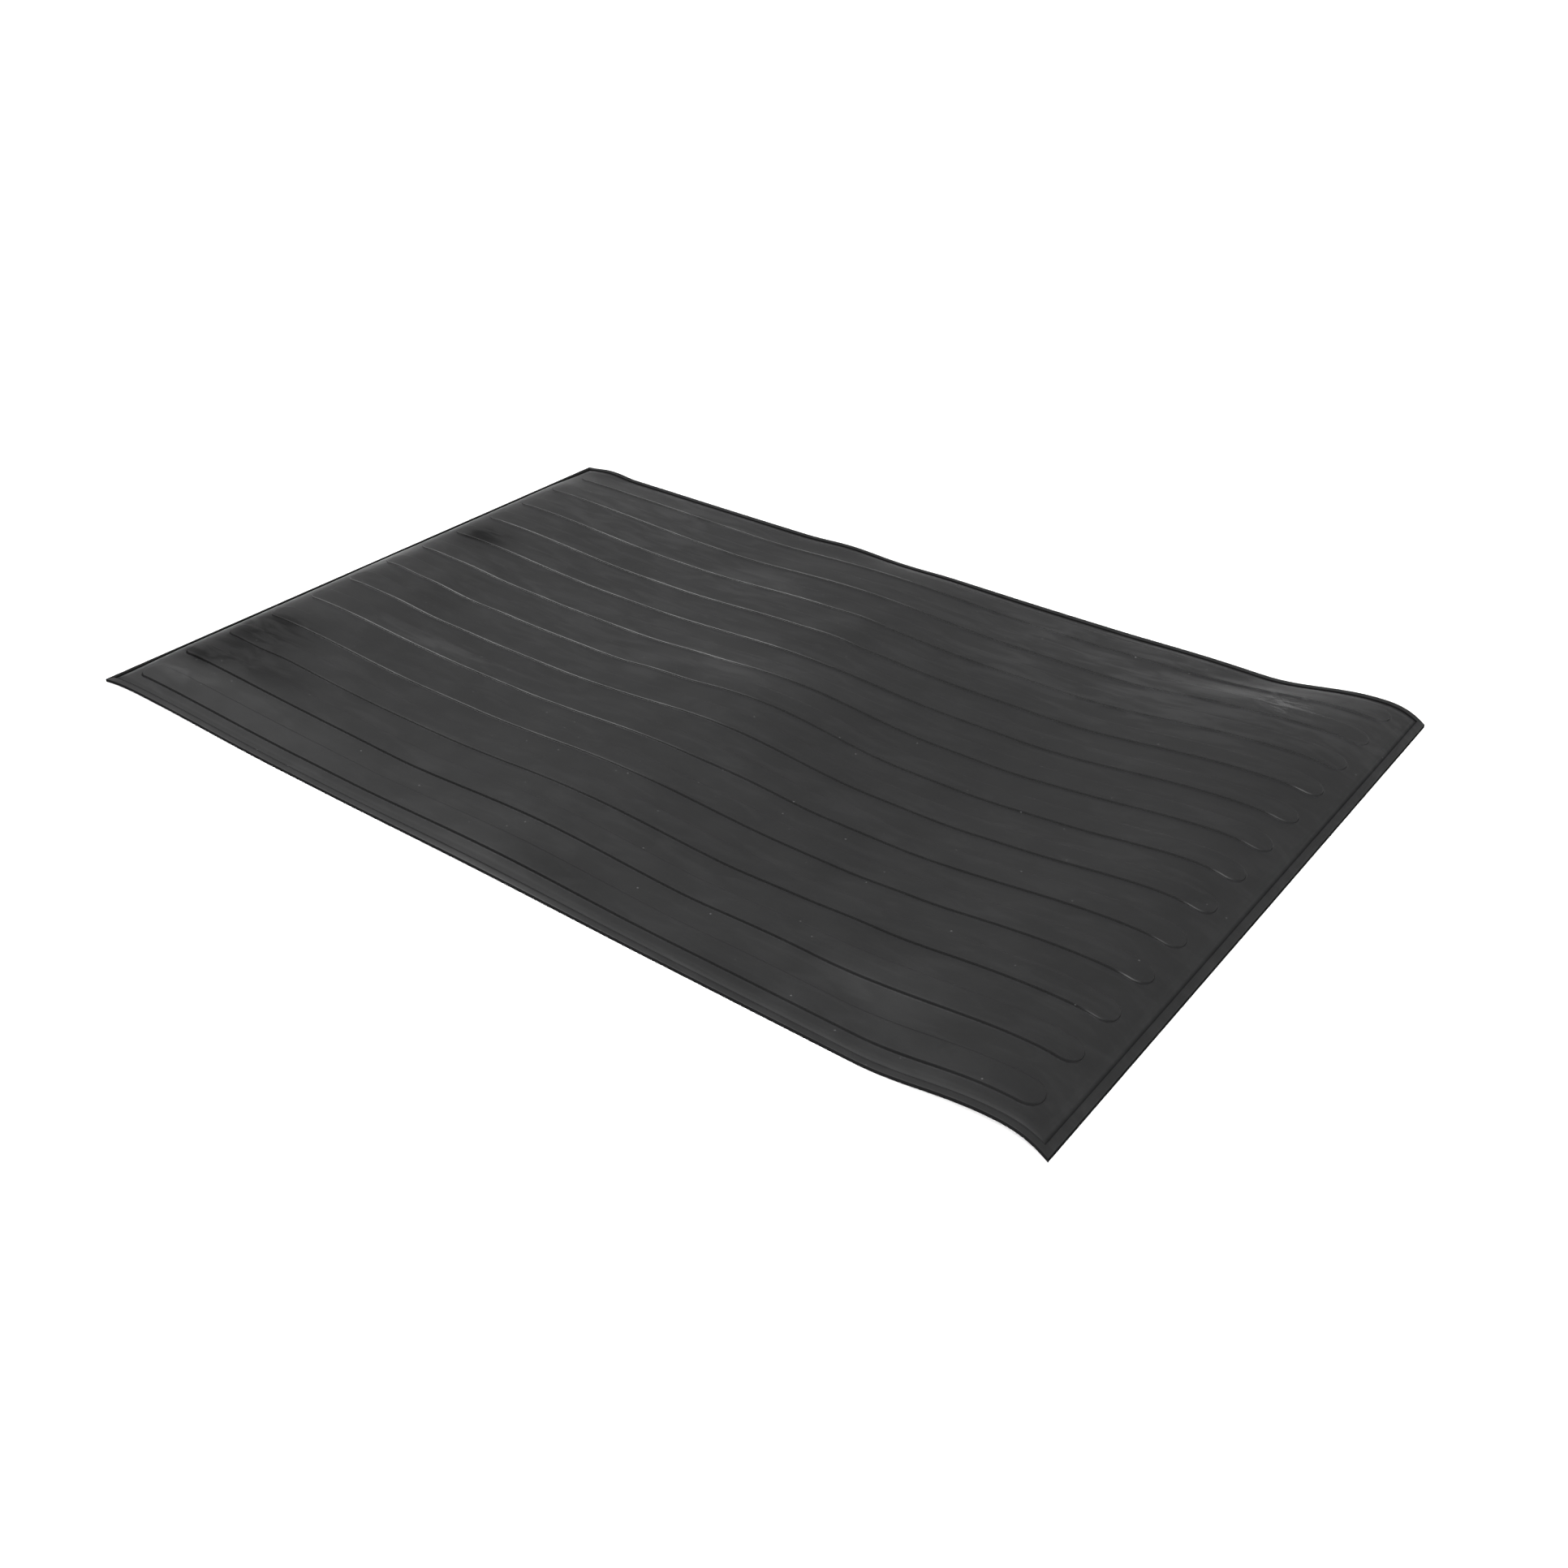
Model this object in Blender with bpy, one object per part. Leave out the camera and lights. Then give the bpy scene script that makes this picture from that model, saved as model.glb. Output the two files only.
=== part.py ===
"""Cushioned rubber floor mat with thirteen raised lengthwise treads, lying in shallow waves.

Every piece is first made as a flat blank at its height in the laminated stack. All the blanks
are then cut along one shared lattice and draped over the same wavy surface, so that the stacked
pieces stay parallel, with the same small gap between them everywhere.

Frame: metres, +Z up. X runs along the mat, Y across it. The origin is at the middle of the
mat, on the floor.
"""

import math

import bmesh
import bpy
from mathutils import Matrix

MM = 0.001

# Points nearer than this are one point; faces within this angle (radians) are one flat face
WELD = 0.001 * MM
FLAT_ANGLE = 0.01

# Driving dimensions of the flat mat
LENGTH = 900 * MM
WIDTH = 600 * MM
GAP = 0.3 * MM
PLY = 0.6 * MM
CORE = 1.6 * MM
EDGE_WIDTH = 5.5 * MM
BEVEL_WIDTH = 9.7 * MM
CORE_SETBACK = 4.85 * MM

# Treads
TREAD_COUNT = 13
TREAD_PITCH = 45.25 * MM
TREAD_WIDTH = 21 * MM
TREAD_LENGTH = 860 * MM
TREAD_THICKNESS = 0.9 * MM
TREAD_END_STEPS = 8

# Heights in the stack, from the floor up
BASE_TOP = PLY
CORE_LOW = BASE_TOP + GAP
CORE_TOP = CORE_LOW + CORE
TOP_LOW = CORE_TOP + GAP
TOP_TOP = TOP_LOW + PLY
TREAD_LOW = TOP_TOP + GAP
TREAD_TOP = TREAD_LOW + TREAD_THICKNESS

# Plan positions, from the middle of the mat
HALF_LENGTH = LENGTH / 2
HALF_WIDTH = WIDTH / 2
SHEET_INSET = EDGE_WIDTH + GAP
BEVEL_END = SHEET_INSET + BEVEL_WIDTH
TREAD_MIDDLES = [(i - (TREAD_COUNT - 1) / 2) * TREAD_PITCH for i in range(TREAD_COUNT)]

# How sharply the two outer swells bend down to the short edges
ARCH_POWER = 2.5

# The left swell: a bulge close to the left short edge, lower towards both long edges
LEFT_HEIGHT = 7.2 * MM
LEFT_CREST = -402 * MM
LEFT_FOOT = -219 * MM
LEFT_NEAR_SHARE = 0.5
LEFT_FAR_SHARE = 0.16
LEFT_FADE = 80 * MM

# The middle swell: a ridge right across the mat, which bends to the left on the far side
MIDDLE_HEIGHT = 6.2 * MM
MIDDLE_CREST = -1 * MM
MIDDLE_FAR_CREST = -31 * MM
MIDDLE_BEND_START = 30 * MM
MIDDLE_BEND_LENGTH = 150 * MM
MIDDLE_LEFT_RUN = 160 * MM
MIDDLE_RIGHT_RUN = 158 * MM
MIDDLE_EDGE_SHARE = 0.17
MIDDLE_FADE = 88 * MM

# The right swell: the highest one, which drops steeply to the right short edge
RIGHT_HEIGHT = 14.4 * MM
RIGHT_CREST = 394 * MM
RIGHT_RUN = 185 * MM
RIGHT_CORNER_HEIGHT = 11.2 * MM
RIGHT_CORNER_CREST = 414 * MM
RIGHT_CORNER_RUN = 98 * MM
RIGHT_NEAR_FADE = 98 * MM
RIGHT_FAR_FADE = 80 * MM

# Smaller bulges and hollows: middle x, middle y, half length, half width, height
BULGES = (
    (38 * MM, -12 * MM, 130 * MM, 116 * MM, 6.4 * MM),
    (-85 * MM, 0 * MM, 45 * MM, 70 * MM, 1.8 * MM),
    (0 * MM, 150 * MM, 40 * MM, 60 * MM, 1.8 * MM),
    (90 * MM, -100 * MM, 60 * MM, 50 * MM, 1.4 * MM),
    (-105 * MM, 300 * MM, 50 * MM, 35 * MM, 1.7 * MM),
    (-35 * MM, 300 * MM, 50 * MM, 35 * MM, -1.0 * MM),
    (-412 * MM, -5 * MM, 38 * MM, 75 * MM, 2.0 * MM),
    (-312 * MM, -15 * MM, 52 * MM, 120 * MM, -1.9 * MM),
    (-415 * MM, 300 * MM, 35 * MM, 30 * MM, 2.4 * MM),
    (-385 * MM, -195 * MM, 45 * MM, 40 * MM, -1.7 * MM),
    (-245 * MM, -235 * MM, 115 * MM, 65 * MM, 2.0 * MM),
    (-260 * MM, 240 * MM, 115 * MM, 80 * MM, 1.5 * MM),
    (402 * MM, -20 * MM, 48 * MM, 120 * MM, 1.7 * MM),
    (318 * MM, -20 * MM, 60 * MM, 120 * MM, -1.6 * MM),
    (345 * MM, -235 * MM, 60 * MM, 60 * MM, -0.8 * MM),
    (218 * MM, -215 * MM, 95 * MM, 75 * MM, 2.8 * MM),
    (242 * MM, -170 * MM, 45 * MM, 65 * MM, 1.5 * MM),
    (265 * MM, 270 * MM, 85 * MM, 70 * MM, 1.8 * MM),
    (300 * MM, 210 * MM, 70 * MM, 90 * MM, 1.0 * MM),
)

# How far the lattice is divided along X: start, end and number of equal steps
LATTICE_SPANS = (
    (-434.5 * MM, -396 * MM, 2),
    (-396 * MM, -219 * MM, 5),
    (-219 * MM, -161 * MM, 1),
    (-161 * MM, 157 * MM, 9),
    (157 * MM, 209 * MM, 1),
    (209 * MM, 394 * MM, 7),
    (394 * MM, 434.5 * MM, 3),
)

MATERIALS = {
    "rubber_sheet": ((0.040, 0.040, 0.041, 1.0), 0.48),
    "rubber_tread": ((0.040, 0.040, 0.041, 1.0), 0.48),
    "rubber_edge": ((0.036, 0.036, 0.037, 1.0), 0.46),
    "rubber_base": ((0.030, 0.030, 0.031, 1.0), 0.60),
    "sponge_rubber": ((0.055, 0.055, 0.055, 1.0), 0.90),
}


def hump(t):
    """A wave with flat feet: 1 at its crest, 0 from t = 1 outwards."""
    return 0.5 * (1 + math.cos(math.pi * min(1.0, abs(t))))


def arch(t):
    """A bent sheet standing on its edge: 1 at its crest, meeting 0 at a slope."""
    return 1 - min(1.0, abs(t)) ** ARCH_POWER


def ease(t):
    """A smooth step from 0 to 1."""
    t = max(0.0, min(1.0, t))
    return t * t * (3 - 2 * t)


def left_swell(x, y):
    near = LEFT_NEAR_SHARE + (1 - LEFT_NEAR_SHARE) * ease((y + HALF_WIDTH) / LEFT_FADE)
    far = LEFT_FAR_SHARE + (1 - LEFT_FAR_SHARE) * ease((HALF_WIDTH - y) / LEFT_FADE)
    if x < LEFT_CREST:
        profile = arch((LEFT_CREST - x) / (LEFT_CREST + HALF_LENGTH))
    else:
        profile = hump((x - LEFT_CREST) / (LEFT_FOOT - LEFT_CREST))
    return LEFT_HEIGHT * near * far * profile


def middle_swell(x, y):
    bend = ease((y - MIDDLE_BEND_START) / MIDDLE_BEND_LENGTH)
    crest = MIDDLE_CREST + (MIDDLE_FAR_CREST - MIDDLE_CREST) * bend
    run = MIDDLE_LEFT_RUN if x < crest else MIDDLE_RIGHT_RUN
    inward = min(1.0, (HALF_WIDTH - abs(y)) / MIDDLE_FADE)
    share = MIDDLE_EDGE_SHARE + (1 - MIDDLE_EDGE_SHARE) * (1 - (1 - inward) ** 2)
    return MIDDLE_HEIGHT * share * hump((x - crest) / run)


def right_swell(x, y):
    inner = ease((HALF_WIDTH - abs(y)) / (RIGHT_NEAR_FADE if y < 0 else RIGHT_FAR_FADE))
    height = RIGHT_CORNER_HEIGHT + (RIGHT_HEIGHT - RIGHT_CORNER_HEIGHT) * inner
    crest = RIGHT_CORNER_CREST + (RIGHT_CREST - RIGHT_CORNER_CREST) * inner
    run = RIGHT_CORNER_RUN + (RIGHT_RUN - RIGHT_CORNER_RUN) * inner
    if x < crest:
        return height * hump((crest - x) / run)
    return height * arch((x - crest) / (HALF_LENGTH - crest))


def bulges(x, y):
    total = 0.0
    for middle_x, middle_y, half_length, half_width, height in BULGES:
        total += height * hump((x - middle_x) / half_length) * hump((y - middle_y) / half_width)
    return total


def lift(x, y):
    """Height of the mat's underside above the floor."""
    return left_swell(x, y) + middle_swell(x, y) + right_swell(x, y) + bulges(x, y)


def body_share(x, y):
    """0 in the thin margin beside the edge strips, 1 where the cushion has its full thickness."""
    along = (HALF_LENGTH - abs(x) - SHEET_INSET) / BEVEL_WIDTH
    across = (HALF_WIDTH - abs(y) - SHEET_INSET) / BEVEL_WIDTH
    return max(0.0, min(1.0, along)) * max(0.0, min(1.0, across))


def lattice_x():
    """Cutting positions along the mat, shared by every piece."""
    core_end = HALF_LENGTH - SHEET_INSET - CORE_SETBACK
    positions = {-core_end, core_end}
    for start, end, steps in LATTICE_SPANS:
        positions.update(round(start + (end - start) * i / steps, 6) for i in range(steps + 1))
    return sorted(positions)


def lattice_y():
    """Cutting positions across the mat: both sides of every tread, and both ends of the bevels."""
    core_side = HALF_WIDTH - SHEET_INSET - CORE_SETBACK
    bevel_side = HALF_WIDTH - BEVEL_END
    positions = {-core_side, core_side, -bevel_side, bevel_side}
    for middle in TREAD_MIDDLES:
        positions.update((middle - TREAD_WIDTH / 2, middle + TREAD_WIDTH / 2))
    return sorted(positions)


def rectangle(inset):
    """Corners of the mat's outline, moved inwards."""
    half_length = HALF_LENGTH - inset
    half_width = HALF_WIDTH - inset
    return [
        (-half_length, -half_width),
        (half_length, -half_width),
        (half_length, half_width),
        (-half_length, half_width),
    ]


def tread_outline(middle):
    """A long flat bar with half-round ends."""
    radius = TREAD_WIDTH / 2
    straight = TREAD_LENGTH / 2 - radius
    points = []
    for side in (1, -1):
        for i in range(TREAD_END_STEPS + 1):
            angle = math.pi * (i / TREAD_END_STEPS - 0.5)
            x = side * (straight + radius * math.cos(angle))
            y = middle + side * radius * math.sin(angle)
            points.append((x, y))
    return points


def long_edge_outline(side):
    """A mitred strip along the front (side -1) or the back (side 1)."""
    outer = HALF_LENGTH - GAP
    inner = outer - EDGE_WIDTH
    outer_y = side * HALF_WIDTH
    inner_y = side * (HALF_WIDTH - EDGE_WIDTH)
    return [(-outer, outer_y), (outer, outer_y), (inner, inner_y), (-inner, inner_y)]


def short_edge_outline(side):
    """A mitred strip along the left (side -1) or the right (side 1)."""
    inner = HALF_WIDTH - EDGE_WIDTH
    outer_x = side * HALF_LENGTH
    inner_x = side * (HALF_LENGTH - EDGE_WIDTH)
    return [(outer_x, -HALF_WIDTH), (outer_x, HALF_WIDTH), (inner_x, inner), (inner_x, -inner)]


def flat_blank(name, outline, low, high):
    """A filled outline with its thickness, between two heights, as one closed mesh."""
    curve = bpy.data.curves.new(name + "_outline", "CURVE")
    curve.dimensions = "2D"
    curve.fill_mode = "BOTH"
    curve.extrude = (high - low) / 2
    spline = curve.splines.new("POLY")
    spline.points.add(len(outline) - 1)
    for point, (x, y) in zip(spline.points, outline):
        point.co = (x, y, 0, 1)
    spline.use_cyclic_u = True
    drawn = bpy.data.objects.new(name + "_outline", curve)
    bpy.context.scene.collection.objects.link(drawn)
    evaluated = drawn.evaluated_get(bpy.context.evaluated_depsgraph_get())
    mesh = bpy.data.meshes.new_from_object(evaluated)
    mesh.name = name
    mesh.transform(Matrix.Translation((0, 0, (low + high) / 2)))
    bpy.data.objects.remove(drawn)
    bpy.data.curves.remove(curve)
    return mesh


def cut_on_lattice(bm):
    """Divide a blank at the shared lattice lines."""
    planes = [((x, 0, 0), (1, 0, 0)) for x in lattice_x()]
    planes += [((0, y, 0), (0, 1, 0)) for y in lattice_y()]
    for point, normal in planes:
        everything = bm.verts[:] + bm.edges[:] + bm.faces[:]
        bmesh.ops.bisect_plane(bm, geom=everything, dist=WELD, plane_co=point, plane_no=normal)


def split_cells(bm):
    """Split each four-sided cell along the same diagonal in every piece."""
    for face in bm.faces[:]:
        ordered = sorted(face.verts, key=lambda vert: vert.co.x + vert.co.y)
        low_corner, high_corner = ordered[0], ordered[-1]
        joined = set(low_corner.link_edges) & set(high_corner.link_edges)
        level = abs(face.normal.z) > abs(face.normal.x) + abs(face.normal.y)
        if len(ordered) == 4 and level and not joined:
            bmesh.utils.face_split(face, low_corner, high_corner)


def drape(bm):
    """Press everything above the core down where the core ends, then lay the blank over the waves."""
    for vert in bm.verts:
        x, y, z = vert.co
        if z > CORE_LOW + CORE / 2:
            z -= (1 - body_share(x, y)) * (CORE + GAP)
        vert.co.z = z + lift(x, y)


def make_piece(collection, name, material_name, outline, low, high):
    """One piece of the mat, from its flat outline and its two heights in the stack."""
    mesh = flat_blank(name, outline, low, high)
    bm = bmesh.new()
    bm.from_mesh(mesh)
    bmesh.ops.remove_doubles(bm, verts=bm.verts, dist=WELD)
    bmesh.ops.dissolve_limit(bm, angle_limit=FLAT_ANGLE, verts=bm.verts, edges=bm.edges)
    cut_on_lattice(bm)
    split_cells(bm)
    drape(bm)
    bmesh.ops.triangulate(bm, faces=bm.faces)
    bmesh.ops.recalc_face_normals(bm, faces=bm.faces)
    bm.to_mesh(mesh)
    bm.free()
    mesh.materials.append(bpy.data.materials[material_name])
    piece = bpy.data.objects.new(name, mesh)
    collection.objects.link(piece)
    return piece


def make_material(name, colour, roughness):
    material = bpy.data.materials.new(name)
    material.use_nodes = True
    shader = material.node_tree.nodes["Principled BSDF"]
    shader.inputs["Base Color"].default_value = colour
    shader.inputs["Roughness"].default_value = roughness
    shader.inputs["Metallic"].default_value = 0.0


def make_cushion(collection):
    """The laminated body: base sheet, sponge core and top sheet."""
    make_piece(collection, "base_sheet", "rubber_base", rectangle(SHEET_INSET), 0, BASE_TOP)
    core_outline = rectangle(SHEET_INSET + CORE_SETBACK)
    make_piece(collection, "sponge_core", "sponge_rubber", core_outline, CORE_LOW, CORE_TOP)
    make_piece(collection, "top_sheet", "rubber_sheet", rectangle(SHEET_INSET), TOP_LOW, TOP_TOP)


def make_treads(collection):
    for number, middle in enumerate(TREAD_MIDDLES, start=1):
        name = f"tread_strip_{number:02d}"
        make_piece(collection, name, "rubber_tread", tread_outline(middle), TREAD_LOW, TREAD_TOP)


def make_edges(collection):
    edges = {
        "front_edge_strip": long_edge_outline(-1),
        "back_edge_strip": long_edge_outline(1),
        "left_edge_strip": short_edge_outline(-1),
        "right_edge_strip": short_edge_outline(1),
    }
    for name, outline in edges.items():
        make_piece(collection, name, "rubber_edge", outline, 0, TREAD_TOP)


def main():
    for leftover in list(bpy.data.objects):
        bpy.data.objects.remove(leftover)
    collection = bpy.data.collections.new("anti_fatigue_mat")
    bpy.context.scene.collection.children.link(collection)
    for name, (colour, roughness) in MATERIALS.items():
        make_material(name, colour, roughness)
    make_cushion(collection)
    make_treads(collection)
    make_edges(collection)


main()
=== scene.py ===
"""Looks of a thin cushioned rubber floor mat that lies in shallow waves.

Each visible piece is made flat and fine, in plan, and then laid over the same wavy surface that
the solids follow. All sizes are in metres.
"""

import math

import bmesh
import bpy
import numpy as np
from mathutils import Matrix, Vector


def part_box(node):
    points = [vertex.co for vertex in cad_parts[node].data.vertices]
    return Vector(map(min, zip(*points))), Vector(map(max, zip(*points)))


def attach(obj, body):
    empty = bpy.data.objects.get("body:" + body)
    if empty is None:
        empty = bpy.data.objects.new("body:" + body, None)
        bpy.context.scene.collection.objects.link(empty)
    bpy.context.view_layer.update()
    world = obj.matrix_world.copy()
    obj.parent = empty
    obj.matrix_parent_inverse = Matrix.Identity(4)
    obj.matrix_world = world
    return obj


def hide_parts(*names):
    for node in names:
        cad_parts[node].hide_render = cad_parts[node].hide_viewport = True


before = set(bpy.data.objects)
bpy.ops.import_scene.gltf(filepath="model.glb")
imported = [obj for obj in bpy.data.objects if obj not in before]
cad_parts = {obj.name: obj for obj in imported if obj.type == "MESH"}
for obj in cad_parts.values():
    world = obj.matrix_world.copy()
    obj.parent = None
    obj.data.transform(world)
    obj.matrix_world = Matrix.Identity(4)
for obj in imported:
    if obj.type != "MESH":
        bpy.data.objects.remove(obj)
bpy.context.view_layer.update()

MM = 0.001
WELD = 0.001 * MM

# Plan sizes, read from the frame
HALF_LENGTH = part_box("right_edge_strip")[1][0]
HALF_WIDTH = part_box("right_edge_strip")[1][1]
SHEET_INSET = HALF_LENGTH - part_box("top_sheet")[1][0]
CORE_INSET = HALF_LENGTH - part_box("sponge_core")[1][0]
TREADS = sorted(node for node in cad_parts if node.startswith("tread_strip_"))

# Heights in the flat stack
PLY = 0.6 * MM
GAP = 0.3 * MM
CORE = 1.6 * MM
MARGIN_TOP = 2 * PLY + GAP
BODY_TOP = MARGIN_TOP + CORE + GAP

# How far the two rubber sheets reach in under the flare of the edge strips
TUCK = 0.5 * MM

# The top sheet rises over this width from its thin margins, in a curve of one of two powers:
# gentle at the left and far sides, steep at the others. The near margin has part of the rise.
BEVEL_WIDTH = 9.7 * MM
GENTLE_SHOULDER = 2.5
STEEP_SHOULDER = 12
NEAR_MARGIN_SHARE = 0.5

# Fineness of the meshes; the borders of a sheet are three times as fine
SHEET_STEP = 3 * MM
CORE_STEP = 6 * MM
TREAD_STEP = 3 * MM
EDGE_STEP = 3 * MM
FINE_MARGIN = 14 * MM
FINE_SPLIT = 3
TREAD_END_POINTS = 25
CRISP_ANGLE = 50

# Power of the curve in which a swell falls to an edge of the mat
ARCH_POWER = 2.5

# The three swells that run across the mat
LEFT_HEIGHT = 7.2 * MM
LEFT_CREST = -402 * MM
LEFT_FOOT = -219 * MM
LEFT_NEAR_SHARE = 0.5
LEFT_FAR_SHARE = 0.16
LEFT_FADE = 80 * MM

MIDDLE_HEIGHT = 6.2 * MM
MIDDLE_CREST = -1 * MM
MIDDLE_FAR_CREST = -31 * MM
MIDDLE_BEND_START = 30 * MM
MIDDLE_BEND_LENGTH = 150 * MM
MIDDLE_LEFT_RUN = 160 * MM
MIDDLE_RIGHT_RUN = 158 * MM
MIDDLE_EDGE_SHARE = 0.17
MIDDLE_FADE = 88 * MM

RIGHT_HEIGHT = 14.4 * MM
RIGHT_CREST = 394 * MM
RIGHT_RUN = 185 * MM
RIGHT_CORNER_HEIGHT = 11.2 * MM
RIGHT_CORNER_CREST = 414 * MM
RIGHT_CORNER_RUN = 98 * MM
RIGHT_NEAR_FADE = 98 * MM
RIGHT_FAR_FADE = 80 * MM

# Smaller bulges and hollows: middle x, middle y, half length, half width, height
BULGES = (
    (38 * MM, -12 * MM, 130 * MM, 116 * MM, 6.4 * MM),
    (-85 * MM, 0 * MM, 45 * MM, 70 * MM, 1.8 * MM),
    (0 * MM, 150 * MM, 40 * MM, 60 * MM, 1.8 * MM),
    (90 * MM, -100 * MM, 60 * MM, 50 * MM, 1.4 * MM),
    (-105 * MM, 300 * MM, 50 * MM, 35 * MM, 1.7 * MM),
    (-35 * MM, 300 * MM, 50 * MM, 35 * MM, -1.0 * MM),
    (-412 * MM, -5 * MM, 38 * MM, 75 * MM, 2.0 * MM),
    (-312 * MM, -15 * MM, 52 * MM, 120 * MM, -1.9 * MM),
    (-415 * MM, 300 * MM, 35 * MM, 30 * MM, 2.4 * MM),
    (-385 * MM, -195 * MM, 45 * MM, 40 * MM, -1.7 * MM),
    (-245 * MM, -235 * MM, 115 * MM, 65 * MM, 2.0 * MM),
    (-260 * MM, 240 * MM, 115 * MM, 80 * MM, 1.5 * MM),
    (402 * MM, -20 * MM, 48 * MM, 120 * MM, 1.7 * MM),
    (318 * MM, -20 * MM, 60 * MM, 120 * MM, -1.6 * MM),
    (345 * MM, -235 * MM, 60 * MM, 60 * MM, -0.8 * MM),
    (218 * MM, -215 * MM, 95 * MM, 75 * MM, 2.8 * MM),
    (242 * MM, -170 * MM, 45 * MM, 65 * MM, 1.5 * MM),
    (265 * MM, 270 * MM, 85 * MM, 70 * MM, 1.8 * MM),
    (300 * MM, 210 * MM, 70 * MM, 90 * MM, 1.0 * MM),
)

# Broad areas of painted sheen, rubbed chalky streaks, painted sheen on crests, and painted shade
# on the left slopes and along the near border: middle x, middle y, half length, half width, change
# of tone
SMUDGES_AND_PAINTED_LIGHT = (
    # painted sheen: lighter over broad areas, most towards the far side and left of the middle
    (260 * MM, 255 * MM, 300 * MM, 150 * MM, 0.6),
    (-310 * MM, 250 * MM, 190 * MM, 120 * MM, 0.42),
    (-200 * MM, 90 * MM, 330 * MM, 230 * MM, 0.18),
    # rubbed chalky streaks near the left ends of the treads
    (-398 * MM, -18 * MM, 95 * MM, 34 * MM, 0.08),
    (-401 * MM, -257 * MM, 50 * MM, 22 * MM, 0.5),
    (-416 * MM, 181 * MM, 40 * MM, 25 * MM, 0.5),
    (-264 * MM, -90 * MM, 110 * MM, 20 * MM, 0.45),
    # painted sheen on the crests of the swells
    (-125 * MM, 179 * MM, 65 * MM, 45 * MM, 0.3),
    (-41 * MM, 26 * MM, 60 * MM, 40 * MM, 0.25),
    # painted shade on the slopes at the left end
    (-405 * MM, -166 * MM, 85 * MM, 56 * MM, -0.75),
    (-396 * MM, 89 * MM, 60 * MM, 40 * MM, -0.75),
    (-370 * MM, -215 * MM, 120 * MM, 40 * MM, -0.5),
    (-418 * MM, -226 * MM, 60 * MM, 34 * MM, -0.6),
    # painted shade along the near border
    (30 * MM, -272 * MM, 110 * MM, 30 * MM, -0.3),
    (350 * MM, -262 * MM, 50 * MM, 34 * MM, -0.3),
    (-240 * MM, -272 * MM, 260 * MM, 30 * MM, -0.12),
)

# A place with chalky scuffs: middle x, middle y, half length, half width
SCUFFS = (352 * MM, 243 * MM, 42 * MM, 30 * MM)

# A place that has lost part of its sheen
MATT_PLACE = (330 * MM, 272 * MM, 95 * MM, 40 * MM)
MATT_PLACE_SHARE = 0.5

# A spot has its full effect out to this share of its size, and none at its border
SPOT_CORE = 0.1

# Upper corners of the treads that shoes have polished: roughness they lose, and the painted
# highlight (tone) they gain
POLISH = 0.05
PAINTED_CORNER_HIGHLIGHT = 0.052

# Where they are polished and painted with the highlight: left of the middle, fading out towards
# the near treads and weaker in the far ones ...
POLISH_END = 55 * MM
POLISH_FADE = 110 * MM
POLISH_NEAR_END = -238 * MM
POLISH_NEAR_FADE = 130 * MM
FAR_POLISH_START = 120 * MM
FAR_POLISH_FADE = 130 * MM
FAR_POLISH_LOSS = 0.3

# ... and just before the right ends: middle x and half length, then the range of y
RIGHT_POLISH = (418 * MM, 10 * MM)
RIGHT_POLISH_RANGE = (-215 * MM, 150 * MM)
RIGHT_POLISH_SHARE = 0.8

# Dullness of the treads' far faces beside the near ones, and what polishing takes off it
FAR_FACE_SHARE = 0.25
POLISHED_DULL_LOSS = 0.7

# How squarely a face has to face -y to count as near, from not at all to fully
NEAR_FACING_START = 0.4
NEAR_FACING_RANGE = 0.5

# Painted shade on the dull faces, as the share of tone they lose: of the treads in the near rows
# and in the far ones (which gain painted light instead), and of the borders
NEAR_STEP_PAINTED_SHADE = 0.28
FAR_STEP_PAINTED_LIGHT = -0.3
BORDER_PAINTED_SHADE = 0.55

# The top sheet's bevel is matt: roughness added, share of the sheen lost, and the share of the
# bevel's width where this starts to fade and over which it fades
MATT_ROUGHNESS = 0.3
MATT_LOSS = 0.5
BEVEL_MATT_START = 0.15
BEVEL_MATT_FADE = 0.55

# Its left bevel is dull too, and darkened with painted shade: how much, and over what share of the
# bevel's width
LEFT_BEVEL_DULL = 0.4
LEFT_BEVEL_FADE = 0.8

# Upward lean of a face (Z of its normal) where the satin skin starts and where it is complete
SKIN_START = 0.45
SKIN_FULL = 0.86

# Sheen of the skin, and the roughness added where there is none
SKIN_SHEEN = 0.5
DULL_ROUGHNESS = 0.3

# Patterns: scale, detail and distortion of a noise
BROAD = (5, 4, 0.6)
CLOUDS = (24, 6, 0.3)
STREAKS = (75, 6, 1.0)
SCUFF_MARKS = (170, 4, 1.5)
UNEVEN_HIGHLIGHT = (14, 3, 0.0)
RUBBING = (45, 3, 0.0)
MOULDING = (45, 2, 0.0)

# Streaks, scuffs and moulding marks are stretched along the mat
STRETCH = (0.25, 1.0, 1.0)

# What the patterns do: two values of the pattern, and the result at each
BROAD_TONE = (0.32, 0.68, 0.98, 1.02)
CLOUD_TONE = (0.3, 0.7, 0.965, 1.035)
STREAK_TONE = (0.42, 0.74, 0.985, 1.14)
SMUDGE_AND_PAINTED_LIGHT_PATCHES = (0.38, 0.62, 0.35, 1.0)
SCUFF_PATCHES = (0.50, 0.62, 0.0, 1.0)
HIGHLIGHT_PATCHES = (0.38, 0.62, 0.35, 1.0)
RUBBED_SMOOTHER = (0.4, 0.6, -0.3 * POLISH, -POLISH)
CLOUD_ROUGHNESS = (0.3, 0.7, -0.015, 0.015)
BROAD_ROUGHNESS = (0.3, 0.7, -0.008, 0.008)

# Light specks: scale of the cells they sit in; the distances from its middle to which a speck is
# full and at which it ends, and the result at each
SPECK_SCALE = 55
SPECK_EDGE = (0.025, 0.05, 1.0, 0.0)

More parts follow.
